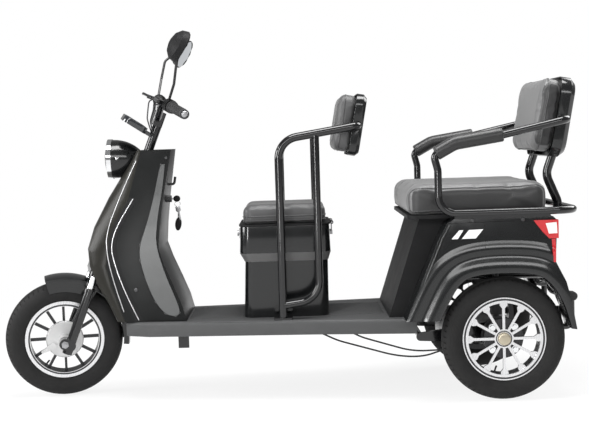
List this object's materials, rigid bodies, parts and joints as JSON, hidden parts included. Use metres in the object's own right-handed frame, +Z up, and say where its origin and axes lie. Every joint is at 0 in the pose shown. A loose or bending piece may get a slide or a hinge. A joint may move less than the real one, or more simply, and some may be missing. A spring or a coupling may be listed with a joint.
{
  "type": "passenger electric tricycle",
  "caption": "Electric tricycle with a step-through deck, a driver's seat on a lidded box, tube armrests and a wide passenger bench between the rear wheels.",
  "frame": {"origin": "on the ground under the middle of the vehicle's length and width", "axes": "+X runs from the front wheel to the rear wheels, +Y to the vehicle's right side, +Z up"},
  "size_m": [2.0024, 0.7098, 1.2728],
  "materials": {
    "tyre": "matte",
    "wheel_dark": "satin",
    "wheel_silver": "satin",
    "drum_iron": "matte",
    "plate_alloy": "cast",
    "steel": "satin",
    "frame_black": "gloss",
    "body_black": "gloss",
    "inner_black": "satin",
    "deck_grey": "satin",
    "grip_rubber": "matte",
    "cushion_black": "satin",
    "chrome": "polished",
    "lens": "clear",
    "mirror": "polished",
    "tail_red": "gloss",
    "battery_case": "matte"
  },
  "bodies": {
    "chassis": {"floor_deck": "deck_grey", "front_cowl": "body_black", "leg_shield": "body_black", "headlight_bowl": "body_black", "headlight_ring": "chrome", "headlight_lens": "lens", "seat_box": "body_black", "driver_backrest_pad": "cushion_black", "driver_backrest_shell": "body_black", "passenger_backrest_pad": "cushion_black", "passenger_backrest_shell": "body_black", "driver_frame": "frame_black", "rear_body": "body_black", "bench_front_panel": "inner_black", "tail_lamps": "tail_red", "bench_pan": "inner_black", "bench_cushion": "cushion_black", "passenger_arm_rail": "frame_black", "passenger_seat_rail": "frame_black", "arm_pads": "grip_rubber", "backrest_stays": "frame_black", "chassis_frame": "frame_black", "battery_pack": "battery_case", "rear_axle": "steel", "drive_motor": "plate_alloy", "trailing_arms": "frame_black", "rear_struts": "steel", "seat_hinge": "steel", "rail_saddles": "frame_black", "rear_bumper": "frame_black", "rear_brake_cables": "grip_rubber", "bag_hook": "steel", "seat_latch": "steel", "ignition_lock": "steel"},
    "steering": {"fork_stanchions": "frame_black", "fork_sliders": "frame_black", "front_axle": "steel", "front_brake_plate": "plate_alloy", "front_mudguard": "body_black", "handlebar": "frame_black", "grip_left": "grip_rubber", "grip_right": "grip_rubber", "switch_housings": "inner_black", "brake_levers": "frame_black", "mirror_left": "body_black", "mirror_right": "body_black", "mirror_glasses": "mirror", "mirror_stems": "frame_black", "instrument_pod": "inner_black", "front_cables": "grip_rubber"},
    "front_wheel": {"front_tyre": "tyre", "front_rim": "wheel_dark"},
    "rear_wheel_left": {"rear_left_tyre": "tyre", "rear_left_rim": "wheel_silver", "rear_left_drum": "drum_iron"},
    "rear_wheel_right": {"rear_right_tyre": "tyre", "rear_right_rim": "wheel_silver", "rear_right_drum": "drum_iron"},
    "seat_lid": {"seat_lid_plate": "inner_black", "driver_cushion": "cushion_black"}
  },
  "joints": [
    {"name": "steering_turn", "type": "hinge", "parent": "chassis", "child": "steering", "pos_m": [-0.75401, 0, 0.1854], "axis": [0.3746, 0, 0.9272], "range_deg": [-47, 23]},
    {"name": "front_wheel_spin", "type": "hinge", "parent": "steering", "child": "front_wheel", "pos_m": [-0.80389, -0.01144, 0.20555], "axis": [-0.1928, 0.9781, 0.0779], "continuous": true},
    {"name": "rear_left_wheel_spin", "type": "hinge", "parent": "chassis", "child": "rear_wheel_left", "pos_m": [0.715, -0.295, 0.206], "axis": [0, 1, 0], "continuous": true},
    {"name": "rear_right_wheel_spin", "type": "hinge", "parent": "chassis", "child": "rear_wheel_right", "pos_m": [0.715, 0.295, 0.206], "axis": [0, 1, 0], "continuous": true},
    {"name": "seat_lid_hinge", "type": "hinge", "parent": "chassis", "child": "seat_lid", "pos_m": [0.161, 0, 0.5933], "axis": [0, 1, 0], "range_deg": [0, 75]}
  ]
}
